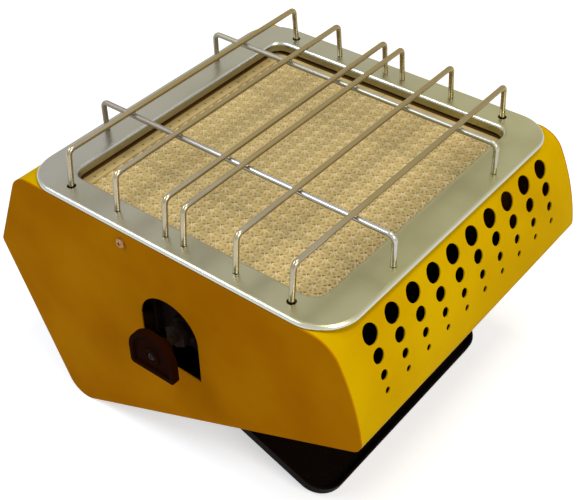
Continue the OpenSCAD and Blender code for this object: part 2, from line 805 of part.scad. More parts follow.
module bracket_screw_places() {
    for (sy = [-1, 1]) {
        translate([-tray_w / 2, tap_y + sy * bracket_w / 3, -tap_drop + bracket_rise]) children();
    }
}

// Plate that hangs the tap from the burner tray's side
module valve_bracket() {
    drop = 16;
    rise = bracket_rise + 7;
    rib = 5;
    color(bright_steel) difference() {
        at_tap() {
            along_x(bracket_x, bracket_t) translate([0, (rise - drop) / 2]) plan_rect(bracket_w, rise + drop, 5);
            for (sy = [-1, 1]) {
                translate([bracket_x - rib, sy * (bracket_w - bracket_t) / 2 - bracket_t / 2, 5 - drop])
                    cube([rib + bracket_t, bracket_t, rise + drop - 10]);
            }
        }
        at_tap() x_cylinder(bracket_x - 1, bracket_t + 2, neck_d / 2 + seat_gap);
        bracket_screw_places() x_cylinder(-6, 8, screw_d / 2 + seat_gap);
    }
}

pipe_start = port_len - 4;
wall_gap = 14;

module gas_pipe() {
    color(copper) on_inlet_axis() translate([0, 0, pipe_start]) difference() {
        cylinder(h = back_distance - wall_gap + 3 - pipe_start, d = pipe_d);
        translate([0, 0, -1]) cylinder(h = back_distance, d = pipe_d - 2);
    }
}

// Compression nuts at both ends of the pipe
module pipe_nuts() {
    nut_t = 9;
    nut_flats = inlet_d + 4;
    color(brass) on_inlet_axis() for (z = [port_len + 2 * seat_gap, back_distance - wall_gap - 2 * seat_gap - nut_t]) {
        translate([0, 0, z]) difference() {
            cylinder(h = nut_t, d = nut_flats / cos(30), $fn = 6);
            translate([0, 0, -1]) cylinder(h = nut_t + 2, d = pipe_d + 2 * seat_gap);
        }
    }
}

inlet_flats = inlet_d + 6;

// Bulkhead fitting through the lower back, with its threaded stub outside
module gas_inlet() {
    hex_t = 5;
    chamfer = 1;
    pipe_seat = 3.5;
    color(brass) on_inlet_axis() translate([0, 0, back_distance]) difference() {
        union() {
            translate([0, 0, -wall_gap]) cylinder(h = wall_gap + seat_gap, d = inlet_d);
            translate([0, 0, seat_gap]) cylinder(h = hex_t, d = inlet_flats / cos(30), $fn = 6);
            translate([0, 0, seat_gap + hex_t]) cylinder(h = inlet_len, d = inlet_d);
            translate([0, 0, seat_gap + hex_t + inlet_len])
                cylinder(h = chamfer, d1 = inlet_d, d2 = inlet_d - 2 * chamfer);
        }
        translate([0, 0, -wall_gap - 1]) cylinder(h = wall_gap + hex_t + inlet_len + 3, d = pipe_d - 3);
        translate([0, 0, -wall_gap - 1]) cylinder(h = pipe_seat + 1, d = pipe_d + 2 * seat_gap);
    }
}

module inlet_lock_nut() {
    color(bright_steel) on_inlet_axis() translate([0, 0, back_distance - wrap_t - seat_gap - 4]) difference() {
        cylinder(h = 4, d = inlet_flats / cos(30), $fn = 6);
        translate([0, 0, -1]) cylinder(h = 6, d = inlet_d + 2 * seat_gap);
    }
}

// Turns with the knob; a flat at its outer end drives it
spindle_sink = 4.5;
spindle_out = knob_face + spindle_sink;
spindle_flat = 14;
spindle_cut = 1.2;

module valve_spindle() {
    color(bright_steel) at_tap() difference() {
        x_cylinder(spindle_out, valve_x + spindle_in - 1 - spindle_out, spindle_d / 2);
        translate([spindle_out - 1, -spindle_d / 2, spindle_d / 2 - spindle_cut])
            cube([spindle_flat + 1, spindle_d, spindle_cut + 1]);
        x_cylinder(spindle_out - 1, 8, 1.3);
    }
}

screw_sink = 2.2;

// Arch section of the knob about the tap's axis, moved inwards by inset
module knob_section(inset) {
    r = knob_w / 2 - inset;
    foot = knob_foot - inset;
    toe_r = max(2.5 - inset, 0.6);
    intersection() {
        circle(r);
        translate([-r, -foot / 2]) square([2 * r, foot / 2 + r]);
    }
    translate([-r, toe_r - foot]) square([2 * r, foot - toe_r]);
    translate([toe_r - r, -foot]) square([2 * (r - toe_r), foot]);
    for (sy = [-1, 1]) {
        translate([sy * (r - toe_r), toe_r - foot]) circle(toe_r);
    }
}

// Moulded arch-shaped knob: raised rim, recessed face, hollow back round a hub
module knob() {
    face_t = 1.8;
    wall = 2.2;
    hub_d = 12;
    hub_len = 13;
    boss_in = 0.6;
    bore_gap = 0.02;
    color(black_plastic) at_tap() difference() {
        union() {
            difference() {
                along_x(knob_face, knob_t) knob_section(0);
                along_x(knob_face - 1, knob_recess + 1) knob_section(knob_rim);
                along_x(knob_face + knob_recess + face_t, knob_t) knob_section(wall);
            }
            x_cylinder(knob_face + boss_in, hub_len - boss_in, hub_d / 2);
        }
        difference() {
            x_cylinder(spindle_out, knob_reach, spindle_d / 2 + bore_gap);
            translate([spindle_out - 1, -spindle_d / 2, spindle_d / 2 - spindle_cut + bore_gap])
                cube([spindle_flat, spindle_d, spindle_cut + 1]);
        }
        x_cylinder(knob_face - 1, knob_reach, 1.5);
        x_cylinder(knob_face - 1, 1 + screw_sink, 3.2);
    }
}

module knob_screw() {
    color(bright_steel) at_tap() translate([knob_face + screw_sink - seat_gap, 0, 0]) rotate([0, -90, 0])
        pan_screw(5.6, 1.6, 2.4, 6);
}

// ---------- Wire guard ----------
// A bent wire in the XZ plane: feet at +-foot, span at height h, legs leaning out, ends depth below z = 0.
// The straight runs lap into the bends and are a hair thinner, so that they join cleanly.
module bent_wire(foot, h, lean, depth) {
    r = wire_d / 2;
    straight_r = r - 0.01;
    leg_x = foot - h * tan(lean);
    slack = wire_bend * tan((90 - lean) / 2);
    reach = (h + depth) / cos(lean) - slack;
    x_cylinder(slack - leg_x - lap, 2 * (leg_x - slack + lap), straight_r);
    for (s = [0, 1]) {
        mirror([s, 0, 0]) translate([leg_x - slack, 0, -wire_bend]) rotate([90, 0, 0]) rotate(lean) {
            rotate_extrude(angle = 90 - lean) translate([wire_bend, 0]) circle(r);
            translate([wire_bend, lap, 0]) rotate([90, 0, 0]) cylinder(h = reach + lap, r = straight_r);
        }
    }
}

// Long wires 1 to 6 run from the front to the rear; the first and last plug into the plate
module guard_wire(i) {
    y = i < 3 ? -wire_y[i] : wire_y[5 - i];
    corner = i == 0 || i == 5;
    color(bright_steel) translate([0, y, wire_h])
        bent_wire(wire_foot, wire_h, wire_lean, corner ? plug_depth : -0.3);
}

// Cross wires are welded under the long ones
module guard_cross(i) {
    h = wire_h - wire_d - seat_gap;
    color(bright_steel) translate([i == 0 ? -cross_x : cross_x, 0, h]) rotate(90)
        bent_wire(cross_foot, h, 0, -0.3);
}

// ---------- Folding foot ----------
// The foot is drawn folded up in its well, then swung out about its hinge
module foot_pose() {
    on_bottom() translate([0, -hinge_fwd, hinge_in]) rotate([foot_open, 0, 0]) children();
}

module folding_foot() {
    length = foot_len + hinge_back;
    z0 = foot_lift - hinge_in;
    rib_w = 6;
    rib_h = 1.2;
    color(black_steel) foot_pose() translate([0, hinge_back - length / 2, z0]) difference() {
        union() {
            slab(foot_w - 2 * foot_bend, length - 2 * foot_bend, foot_r - foot_bend, 0, foot_t, hinge_r - foot_bend);
            rim_sweep(foot_w, length, foot_r, hinge_r) {
                translate([-foot_bend, foot_bend]) quarter_ring(foot_bend, foot_t, 3);
                translate([-foot_t, foot_bend]) square([foot_t, foot_rim - foot_bend]);
            }
            for (sx = [-1, 1]) {
                translate([sx * foot_w / 4 - rib_w / 2, foot_r - length / 2, 0])
                    cube([rib_w, length - 2 * foot_r, foot_t + rib_h]);
            }
        }
        translate([0, length / 2 - hinge_back, hinge_in - foot_lift])
            x_cylinder(-foot_w, 2 * foot_w, pin_d / 2 + run_gap);
    }
}

module at_hinge() {
    on_bottom() translate([0, -hinge_fwd, hinge_in]) children();
}

module foot_pin() {
    reach = well_w / 2 + pan_t + pin_nut_t + 1.3;
    color(bright_steel) at_hinge() x_cylinder(-reach, 2 * reach, pin_d / 2);
}

// Spring washers that the nuts squeeze, so that the foot stays where it is put
module friction_washers() {
    color(fibre_white) at_hinge() for (s = [0, 1]) {
        mirror([s, 0, 0]) difference() {
            x_cylinder(foot_w / 2 + seat_gap, washer_t, pin_d / 2 + 2);
            x_cylinder(foot_w / 2, 2 * washer_t, pin_d / 2 + run_gap);
        }
    }
}

module pin_nuts() {
    color(bright_steel) at_hinge() for (s = [0, 1]) {
        mirror([s, 0, 0]) difference() {
            rotate([30, 0, 0]) x_hex(well_w / 2 + pan_t + seat_gap, pin_nut_t, pin_nut_flats);
            x_cylinder(well_w / 2, pan_t + pin_nut_t + 1, pin_d / 2 + run_gap);
        }
    }
}

// ---------- Fasteners ----------
module panel_screws() {
    color(bright_steel) for (s = [0, 1]) {
        mirror([s, 0, 0]) translate([-body_w / 2 - 0.02, panel_screw_y, -panel_screw_drop]) rotate([0, -90, 0])
            pan_screw(screw_head, screw_head_t - 0.02, screw_d, cheek_t + screw_grip);
    }
}

module burner_screws() {
    color(bright_steel) for (sx = [-1, 1], sy = [-1, 1]) {
        translate([sx * burner_screw_x, sy * burner_screw_y, -crown_drop + 0.02])
            pan_screw(screw_head, screw_head_t, screw_d, wrap_t + tray_t + screw_grip);
    }
}

base_screw_x = foot_w / 2 - 13;

// Three along each lip, flush with the bottom
module base_screw_places() {
    for (x = [-base_screw_x, 0, base_screw_x], b = [wrap_lip / 2, bottom_len - wrap_lip / 2]) {
        translate([x, -b, 0]) children();
    }
}

module countersink() {
    shank_hole = screw_d + 2 * seat_gap;
    translate([0, 0, -1]) cylinder(h = 1, d = screw_head + 0.8);
    cylinder(h = wrap_t + pan_t + seat_gap, d1 = screw_head + 0.8, d2 = shank_hole);
    cylinder(h = 2 * screw_grip, d = shank_hole);
}

module base_screws() {
    color(bright_steel) on_bottom() base_screw_places() {
        cylinder(h = wrap_t + pan_t + seat_gap, d1 = screw_head + 0.6, d2 = screw_d);
        cylinder(h = wrap_t + pan_t + screw_grip, d = screw_d);
    }
}

module bracket_screws() {
    color(bright_steel) bracket_screw_places() translate([-bracket_t - seat_gap - 0.02, 0, 0]) rotate([0, -90, 0])
        pan_screw(screw_head, screw_head_t, screw_d, bracket_t + screw_grip);
}

module shield_screws() {
    length = shield_drop - tray_drop + screw_grip;
    color(bright_steel) for (sx = [-1, 1], sy = [-1, 1]) {
        translate([sx * shield_screw_x, sy * shield_screw_y, -shield_drop - tray_t - 0.02]) rotate([180, 0, 0])
            pan_screw(screw_head, screw_head_t, screw_d, length);
    }
}

// ---------- Assembly ----------
module placed() {
    translate(place) children();
}

placed() housing_wrap();
placed() side_panel_left();
placed() side_panel_right();
placed() base_pan();
placed() top_plate();
placed() burner_tray();
placed() tile_ledge();
placed() tile_gasket();
placed() tile_clamp();
placed() ceramic_tile(-1);  // ceramic_tile_front
placed() ceramic_tile(1);  // ceramic_tile_rear
placed() diffuser_plate();
placed() heat_shield();
placed() shield_spacers();
placed() mixing_tube();
placed() gas_jet();
placed() valve_body();
placed() gland_nut();
placed() valve_lock_nut();
placed() valve_bracket();
placed() gas_pipe();
placed() pipe_nuts();
placed() gas_inlet();
placed() inlet_lock_nut();
placed() valve_spindle();
placed() knob();
placed() knob_screw();
for (i = [0 : 5]) {
    placed() guard_wire(i);
}
for (i = [0 : 1]) {
    placed() guard_cross(i);
}
placed() folding_foot();
placed() foot_pin();
placed() friction_washers();
placed() pin_nuts();
placed() panel_screws();
placed() burner_screws();
placed() base_screws();
placed() bracket_screws();
placed() shield_screws();
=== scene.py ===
import math

import bmesh
import bpy
from mathutils import Matrix, Vector, geometry


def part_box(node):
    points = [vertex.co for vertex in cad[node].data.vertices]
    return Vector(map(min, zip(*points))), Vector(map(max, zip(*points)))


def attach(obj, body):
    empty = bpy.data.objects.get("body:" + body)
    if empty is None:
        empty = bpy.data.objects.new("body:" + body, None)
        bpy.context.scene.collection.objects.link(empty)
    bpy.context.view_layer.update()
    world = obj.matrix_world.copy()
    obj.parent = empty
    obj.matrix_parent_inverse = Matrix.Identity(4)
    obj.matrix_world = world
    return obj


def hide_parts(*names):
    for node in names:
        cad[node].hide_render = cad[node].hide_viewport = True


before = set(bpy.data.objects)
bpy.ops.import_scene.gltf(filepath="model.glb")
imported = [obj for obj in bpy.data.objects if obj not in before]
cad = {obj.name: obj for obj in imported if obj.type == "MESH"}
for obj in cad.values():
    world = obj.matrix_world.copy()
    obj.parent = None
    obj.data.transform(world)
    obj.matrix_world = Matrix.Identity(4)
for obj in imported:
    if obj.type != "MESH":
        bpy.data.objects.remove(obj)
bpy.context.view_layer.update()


# ---------- Camera ----------
# Stands at the left front corner and looks down on the burner.
# A long lens, turned a little, for an image of 577 x 500.
eye = bpy.data.cameras.new("eye")
eye.lens = 69.57
eye.sensor_width = 36.0
camera = bpy.data.objects.new("camera", eye)
camera.location = (-0.4263, -0.3534, 0.5693)
camera.rotation_euler = [math.radians(turn) for turn in (49.7524, 0.975, -51.6592)]
bpy.context.collection.objects.link(camera)
bpy.context.scene.camera = camera
bpy.context.scene.view_settings.view_transform = "Standard"


# ---------- Studio ----------
# A pale paper floor in a white room, a lamp nearly overhead, a wide softbox in front and a
# cool window high at the back left, which draws the light lines along the steel.
MM = 0.001
floor_reach = 6.0
floor_z = -0.2 * MM
lit_point = Vector((0, 0, 120 * MM))


def linear(hexcode):
    """A colour written as sRGB hex, as linear RGBA."""
    parts = [int(hexcode[i:i + 2], 16) / 255 for i in (0, 2, 4)]
    return [c / 12.92 if c <= 0.04045 else ((c + 0.055) / 1.055) ** 2.4 for c in parts] + [1.0]


def add(tree, kind, inputs=None, **settings):
    """Adds a node with its settings. An input is given by name, or by number where the names
    repeat, and is a constant, another node's output, or a node, for its first output."""
    made = tree.nodes.new(kind)
    for name, value in settings.items():
        setattr(made, name, value)
    for name, value in (inputs or {}).items():
        if isinstance(name, int):
            socket = made.inputs[name]
        else:
            socket = next(s for s in made.inputs if s.enabled and s.name == name)
        if isinstance(value, bpy.types.Node):
            value = next(s for s in value.outputs if s.enabled)
        if isinstance(value, bpy.types.NodeSocket):
            tree.links.new(value, socket)
        else:
            socket.default_value = value
    return made


def empty_material(name):
    """A new material without any nodes."""
    made = bpy.data.materials.new(name)
    made.use_nodes = True
    made.node_tree.nodes.clear()
    return made


def seen_rays(tree):
    """1 on rays that reach the eye, straight or by way of metal or glass, and 0 on others."""
    path = add(tree, "ShaderNodeLightPath").outputs
    seen = path["Is Camera Ray"]
    for ray in ("Is Glossy Ray", "Is Transmission Ray"):
        seen = add(tree, "ShaderNodeMath", {0: seen, 1: path[ray]}, operation="MAXIMUM")
    return seen


# Matt white card; to the eye it glows a little, and more far off, so that it reads white
# round the shadow and runs into the white room
paper = empty_material("matt_paper_floor")
tree = paper.node_tree
place = add(tree, "ShaderNodeTexCoord").outputs["Object"]
away = add(tree, "ShaderNodeVectorMath", {"Vector": place}, operation="LENGTH")
fade = add(tree, "ShaderNodeMapRange", {
    "Value": away, "From Min": 0.30, "From Max": 1.8, "To Min": 0.56, "To Max": 1.0,
})
lift = add(tree, "ShaderNodeMath", {0: seen_rays(tree), 1: fade}, operation="MULTIPLY")
glow = add(tree, "ShaderNodeEmission", {"Color": linear("FFFFFF"), "Strength": lift})
card = add(tree, "ShaderNodeBsdfDiffuse", {"Color": linear("D8D8D6")})
both = add(tree, "ShaderNodeAddShader", {0: card, 1: glow})
add(tree, "ShaderNodeOutputMaterial", {"Surface": both})

floor_mesh = bpy.data.meshes.new("floor")
signs = ((-1, -1), (1, -1), (1, 1), (-1, 1))
floor_corners = [(x * floor_reach, y * floor_reach, floor_z) for x, y in signs]
floor_mesh.from_pydata(floor_corners, [], [(0, 1, 2, 3)])
floor_mesh.materials.append(paper)
floor = bpy.data.objects.new("floor", floor_mesh)
bpy.context.collection.objects.link(floor)

room = bpy.data.worlds.new("white_room")
room.use_nodes = True
tree = room.node_tree
tree.nodes.clear()
strength = add(tree, "ShaderNodeMapRange", {
    "Value": seen_rays(tree), "To Min": 0.26, "To Max": 1.0,
})
wall = add(tree, "ShaderNodeBackground", {"Color": linear("FFFFFF"), "Strength": strength})
add(tree, "ShaderNodeOutputWorld", {"Surface": wall})
bpy.context.scene.world = room

# Name, direction from the heater, distance, width and height in metres, watts and colour
LAMPS = [
    ("overhead_lamp", (0.02, -0.26, 0.96), 1.6, 0.40, 0.40, 10.0, "FFF4E6"),
    ("front_softbox", (-0.20, -0.74, 0.52), 1.8, 0.8, 0.6, 16.0, "FFF6EC"),
    ("rear_window", (-0.40, 0.48, 0.74), 1.6, 0.90, 0.50, 14.0, "DEEAFF"),
]
for name, direction, distance, width, height, watts, tint in LAMPS:
    light = bpy.data.lights.new(name, "AREA")
    light.shape = "RECTANGLE"
    light.size = width
    light.size_y = height
    light.energy = watts
    light.color = linear(tint)[:3]
    lamp = bpy.data.objects.new(name, light)
    lamp.location = Vector(direction).normalized() * distance + lit_point
    lamp.rotation_euler = Vector(direction).to_track_quat("Z", "Y").to_euler()
    bpy.context.collection.objects.link(lamp)


# ---------- Housing ----------
# One bent steel sheet closed by two flat cheeks, blanked, drilled and powder coated in a
# warm yellow; the cheeks' deeper orange is painted shade. The coat rounds the cheeks' edges.
cheek_edge = 0.45 * MM


def surface(name, constants, build):
    """A material of one Principled shader; build gives what varies over the surface."""
    made = empty_material(name)
    varied = build(made.node_tree)
    shader = add(made.node_tree, "ShaderNodeBsdfPrincipled", {**constants, **varied})
    add(made.node_tree, "ShaderNodeOutputMaterial", {"Surface": shader})
    return made


def finish_nodes(material, *names):
    """Gives CAD nodes a finish in place of their plain one."""
    for name in names:
        for slot in cad[name].material_slots:
            slot.material = material


# Powder coat on steel: satin, with the fine orange peel of a stoved powder, soft smudges
# from handling, dust in the grain and a few hairline scratches
def powder_coat(coat, shade, peel=0.10):
    def build(tree):
        place = add(tree, "ShaderNodeTexCoord").outputs["Object"]
        cloud = add(tree, "ShaderNodeTexNoise", {"Vector": place, "Scale": 16.0, "Detail": 3.0})
        smudge = add(tree, "ShaderNodeMapRange", {
            "Value": cloud, "From Min": 0.35, "From Max": 0.68,
        })
        colour = add(tree, "ShaderNodeMix", {
            "Factor": smudge, "A": linear(coat), "B": linear(shade),
        }, data_type="RGBA")
        speck = add(tree, "ShaderNodeTexNoise", {"Vector": place, "Scale": 900.0, "Detail": 2.0})
        dust = add(tree, "ShaderNodeMapRange", {
            "Value": speck, "From Min": 0.62, "From Max": 0.80, "To Max": 0.16,
        })
        dusty = add(tree, "ShaderNodeMix", {
            "Factor": dust, "A": colour, "B": linear("6B5230"),
        }, data_type="RGBA")
        gloss = add(tree, "ShaderNodeMapRange", {
            "Value": cloud, "From Min": 0.3, "From Max": 0.7, "To Min": 0.36, "To Max": 0.50,
        })
        drawn = add(tree, "ShaderNodeMapping", {
            "Vector": place, "Rotation": (0.5, 0.2, 0.4), "Scale": (1.0, 0.06, 0.35),
        })
        scratch = add(tree, "ShaderNodeTexNoise", {"Vector": drawn, "Scale": 520.0, "Detail": 1.0})
        hairline = add(tree, "ShaderNodeMapRange", {
            "Value": scratch, "From Min": 0.70, "From Max": 0.76, "To Max": 0.14,
        })
        worn = add(tree, "ShaderNodeMath", {0: gloss, 1: hairline}, operation="ADD")
        grain = add(tree, "ShaderNodeTexNoise", {"Vector": place, "Scale": 620.0, "Detail": 2.0})
        bump = add(tree, "ShaderNodeBump", {
            "Strength": peel, "Distance": 0.2 * MM, "Height": grain,
        })
        return {"Base Color": dusty, "Roughness": worn, "Normal": bump}
    return build


yellow_coat = surface(
    "powder_coat_yellow", {"IOR": 1.5, "Specular IOR Level": 0.004},
    powder_coat("C6A200", "BB9400")
)
finish_nodes(yellow_coat, "housing_wrap")

# The cheeks carry a darker, more orange copy of the coat: painted shade, as they face away from the
# lamps
shaded_cheek_coat = surface(
    "powder_coat_yellow_cheek_painted_shade", {"IOR": 1.5, "Specular IOR Level": 0.002},
    powder_coat("B27500", "A66600")
)


def softened(node, radius, steps, finish):
    """A copy of a CAD node as one welded mesh, with its sharp edges rounded, in a finish."""
    weld_gap = 0.002 * MM
    flat_within = math.radians(0.5)
    sharp_from = math.radians(40)
    made = cad[node].data.copy()
    made.name = node + "_rounded"
    shell = bmesh.new()
    shell.from_mesh(made)
    bmesh.ops.remove_doubles(shell, verts=shell.verts, dist=weld_gap)
    bmesh.ops.dissolve_limit(
        shell, angle_limit=flat_within, verts=shell.verts, edges=shell.edges, delimit=set()
    )
    shell.to_mesh(made)
    shell.free()
    made.materials.clear()
    made.materials.append(finish)
    piece = bpy.data.objects.new(node + "_rounded", made)
    bpy.context.collection.objects.link(piece)
    edge = piece.modifiers.new("soft_edge", "BEVEL")
    edge.width = radius
    edge.segments = steps
    edge.limit_method = "ANGLE"
    edge.angle_limit = sharp_from
    edge.use_clamp_overlap = True
    return piece


for node in ("side_panel_left", "side_panel_right"):
    cheek = softened(node, radius=cheek_edge, steps=2, finish=shaded_cheek_coat)
    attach(cheek, "housing")
    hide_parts(node)


# ---------- Base pan and folding foot ----------
# Pressed steel sheet, powder coated black. The foot swings in the pan's well on a plain
# steel pin, held out by spring washers under the pin's nuts.
black_coat = surface(
    "powder_coat_black", {"IOR": 1.5, "Specular IOR Level": 0.02},
    powder_coat("120A06", "0A0604", 0.16)
)
finish_nodes(black_coat, "base_pan", "folding_foot")


def mottled(clean, stained, scale, detail, roughness=None, relief=None):
    """For surface: two tones mingled by a noise with so many waves to the metre. It may also
    carry the roughness between two values, and raise a relief of some strength and height."""
    def build(tree):
        place = add(tree, "ShaderNodeTexCoord").outputs["Object"]
        noise = add(tree, "ShaderNodeTexNoise", {"Vector": place, "Scale": scale, "Detail": detail})
        varied = {"Base Color": add(tree, "ShaderNodeMix", {
            "Factor": noise, "A": linear(clean), "B": linear(stained),
        }, data_type="RGBA")}
        if roughness:
            varied["Roughness"] = add(tree, "ShaderNodeMapRange", {
                "Value": noise, "To Min": roughness[0], "To Max": roughness[1],
            })
        if relief:
            varied["Normal"] = add(tree, "ShaderNodeBump", {
                "Strength": relief[0], "Distance": relief[1], "Height": noise,
            })
        return varied
    return build


# Zinc-plated mild steel: bright, faintly mottled, slightly bluish, dull where handled
zinc = surface(
    "zinc_plated_steel", {"Metallic": 1.0},
    mottled("B9BCBC", "8E9192", 420.0, 3.0, roughness=(0.22, 0.48))
)
finish_nodes(zinc, "foot_pin", "friction_washers", "pin_nuts")


# ---------- Burner tray and what it carries ----------
# Aluminised sheet that the flame's heat has turned dark and matt: tray, ledge, clamp,
# diffuser, heat shield and mixing tube, with a white fibre gasket round the tiles. The dark
# sheet, with the tap's bracket, nut and screws, is also painted near black as the shade
# inside the housing.
scaled_steel_and_shade = surface(
    "heat_scaled_steel", {"Metallic": 0.15, "Roughness": 0.7, "Specular IOR Level": 0.05},
    mottled("1A0F09", "0C0704", 60.0, 5.0, relief=(0.2, 0.3 * MM))
)
finish_nodes(
    scaled_steel_and_shade, "burner_tray", "tile_ledge", "diffuser_plate", "heat_shield", "mixing_tube",
    "valve_bracket", "valve_lock_nut", "bracket_screws"
)

# The clamp sits nearest the glowing face and has turned brown
tempered_steel = surface(
    "steel_tempered_brown", {"Metallic": 0.2, "Roughness": 0.6, "Specular IOR Level": 0.1},
    mottled("6E4E1E", "3A2610", 35.0, 3.0)
)
finish_nodes(tempered_steel, "tile_clamp")

# Pressed alumina-silica fibre, off-white and felted
fibre = surface(
    "ceramic_fibre", {"Roughness": 0.95},
    mottled("E6E2D4", "C9C2AE", 1400.0, 4.0, relief=(0.6, 0.4 * MM))
)
finish_nodes(fibre, "tile_gasket")
finish_nodes(zinc, "shield_spacers", "shield_screws", "burner_screws", "base_screws")


# ---------- Ceramic burner face ----------
# Two pressed and fired cordierite tiles. Each has a field of star-shaped peaks, which glow
# first, with two gas ports and four dimples between the arms, inside a margin whose ports are
# painted shade.
plate_low, plate_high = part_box("top_plate")
plate_top = plate_high.z
centre_x = (plate_low.x + plate_high.x) / 2
centre_y = (plate_low.y + plate_high.y) / 2
tile_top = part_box("ceramic_tile_front")[1].z

# The field of cells, and the row of ports in the margin before and behind it
rows = 12
columns = 23
cell_pitch = 8.4 * MM
cell_corner = cell_pitch / math.sqrt(3)
cell_row = 1.5 * cell_corner
cell_base = 4.4 * MM
field_x = 94.5 * MM
field_front = 88.4 * MM
field_rear = 85.0 * MM
field_drop = 0.1 * MM
margin_port_y = 88.6 * MM
margin_port_r = 0.5 * MM
margin_port_rim = 1.1 * MM

# A peak, its arms, and the two ports and four dimples round it
peak_height = 1.5 * MM
peak_spread = 1.0 * MM
arm_spread = 2.4 * MM
hole_pitch = 2.6 * MM
hole_turn = math.radians(13.9)
arm_turn = hole_turn + math.pi / 6
arm_steps = (0.55 * hole_pitch, 1.15 * hole_pitch)
hollow_step = 0.35 * hole_pitch
hole_r = 1.25 * MM
hole_sides = 6
hole_depths = [2.4 * MM] * 2 + [0.5 * MM] * 4
# Painted shade at each hole's bottom, ports first: darkest in the two ports on the peak's far side
# from the camera
hole_shades = [1.0, 0.8, 0.25, 0.2, 0.2, 0.25]


def on_circle(radius, turn, x=0.0, y=0.0):
    """The point on a circle round x and y."""
    return (x + radius * math.cos(turn), y + radius * math.sin(turn))


def star_height(x, y):
    """Height of the peak and its six arms, 0 at the crest."""
    arm = (0.5 + 0.5 * math.cos(6 * (math.atan2(y, x) - arm_turn))) ** 2
    spread = peak_spread + arm_spread * arm
    return -peak_height * (1 - math.exp(-(x * x + y * y) / spread ** 2))


def cell_plan():
    """A cell from above: its rim, spots along its arms and hollows, and its holes' middles."""
    edge_middle = cell_corner * math.cos(math.pi / 6)
    rim = []
    ridges = [(0.0, 0.0)]
    holes = []
    for k in range(6):
        for radius, at in ((cell_corner, 0), (edge_middle, math.pi / 6)):
            rim.append(on_circle(radius, math.pi / 2 + k * math.pi / 3 + at))
        hole_way = hole_turn + k * math.pi / 3
        arm_way = arm_turn + k * math.pi / 3
        holes.append(on_circle(hole_pitch, hole_way))
        ridges += [on_circle(radius, arm_way) for radius in arm_steps]
        ridges.append(on_circle(hollow_step, hole_way))
    return rim, ridges, holes


def star_cell():
    """One six-sided cell, with a star on top, its six holes and a straight-sided foot."""
    rim, ridges, holes = cell_plan()
    rings = []
    ring_twist = 0.13
    for k, (x, y) in enumerate(holes):
        for s in range(hole_sides):
            rings.append(on_circle(hole_r, 2 * math.pi * (s + ring_twist * k) / hole_sides, x, y))

    # The top: triangles between all spots, apart from those inside a hole's ring
    spots = [Vector(spot) for spot in rim + ridges + rings]
    merge_gap = 1e-7
    corners, _, faces, made_from, *_ = geometry.delaunay_2d_cdt(spots, [], [], 0, merge_gap)
    corner_of = {spot: i for i, merged in enumerate(made_from) for spot in merged}
    points = [(p.x, p.y, star_height(p.x, p.y)) for p in corners]
    shades = [0.0] * len(points)
    polygons = []
    inside_hole = 0.75 * hole_r
    for face in faces:
        middle = sum((corners[i] for i in face), Vector((0, 0))) / 3
        if all((middle - Vector(hole)).length > inside_hole for hole in holes):
            polygons.append(tuple(face))

    # The holes: a cone down from each ring, its bottom point carrying the hole's painted shade
    first = len(rim) + len(ridges)
    for (x, y), depth, shade in zip(holes, hole_depths, hole_shades):
        ring = [corner_of[first + s] for s in range(hole_sides)]
        first += hole_sides
        bottom = len(points)
        points.append((x, y, star_height(x, y) - depth))
        shades.append(shade)
        for s in range(hole_sides):
            polygons.append((ring[s], ring[(s + 1) % hole_sides], bottom))

    # The foot: six sides down from the rim, and a flat underside
    low = len(points)
    for x, y in rim[::2]:
        points.append((x, y, -cell_base))
        shades.append(0.0)
    for k in range(6):
        start, halfway, end = (corner_of[i % len(rim)] for i in range(2 * k, 2 * k + 3))
        polygons.append((low + k, low + (k + 1) % 6, end, halfway, start))
    polygons.append(tuple(reversed(range(low, low + 6))))

    mesh = bpy.data.meshes.new("star_cell")
    mesh.from_pydata(points, [], polygons)
    crests = [max(0.0, 1 + p[2] / peak_height) for p in points]
    for name, values in (("port", shades), ("crest", crests)):
        mesh.attributes.new(name, "FLOAT", "POINT").data.foreach_set("value", values)
    mesh.update()
    return bpy.data.objects.new("star_cell", mesh)


def node_group(name, inputs, output):
    """A Geometry Nodes tree with named inputs, each with its kind and its usual value."""
    made = bpy.data.node_groups.new(name, "GeometryNodeTree")
    for label, kind, value in inputs:
        socket = made.interface.new_socket(label, in_out="INPUT", socket_type="NodeSocket" + kind)
        if value is not None:
            socket.default_value = value
    made.interface.new_socket(output, in_out="OUTPUT", socket_type="NodeSocketGeometry")
    return made


def run_nodes(name, base_mesh, tree, values):
    """Runs a Geometry Nodes tree on a mesh and gives the result as a plain mesh object."""
    carrier = bpy.data.objects.new(name + "_carrier", base_mesh)
    bpy.context.collection.objects.link(carrier)
    modifier = carrier.modifiers.new("build", "NODES")
    modifier.node_group = tree
    identifiers = {item.name: item.identifier for item in tree.interface.items_tree}
    for label, value in values.items():
        modifier[identifiers[label]] = value
    depsgraph = bpy.context.evaluated_depsgraph_get()
    result = bpy.data.meshes.new_from_object(
        carrier.evaluated_get(depsgraph), preserve_all_data_layers=True, depsgraph=depsgraph
    )
    result.name = name
    piece = bpy.data.objects.new(name, result)
    bpy.context.collection.objects.link(piece)
    bpy.data.objects.remove(carrier)
    return piece


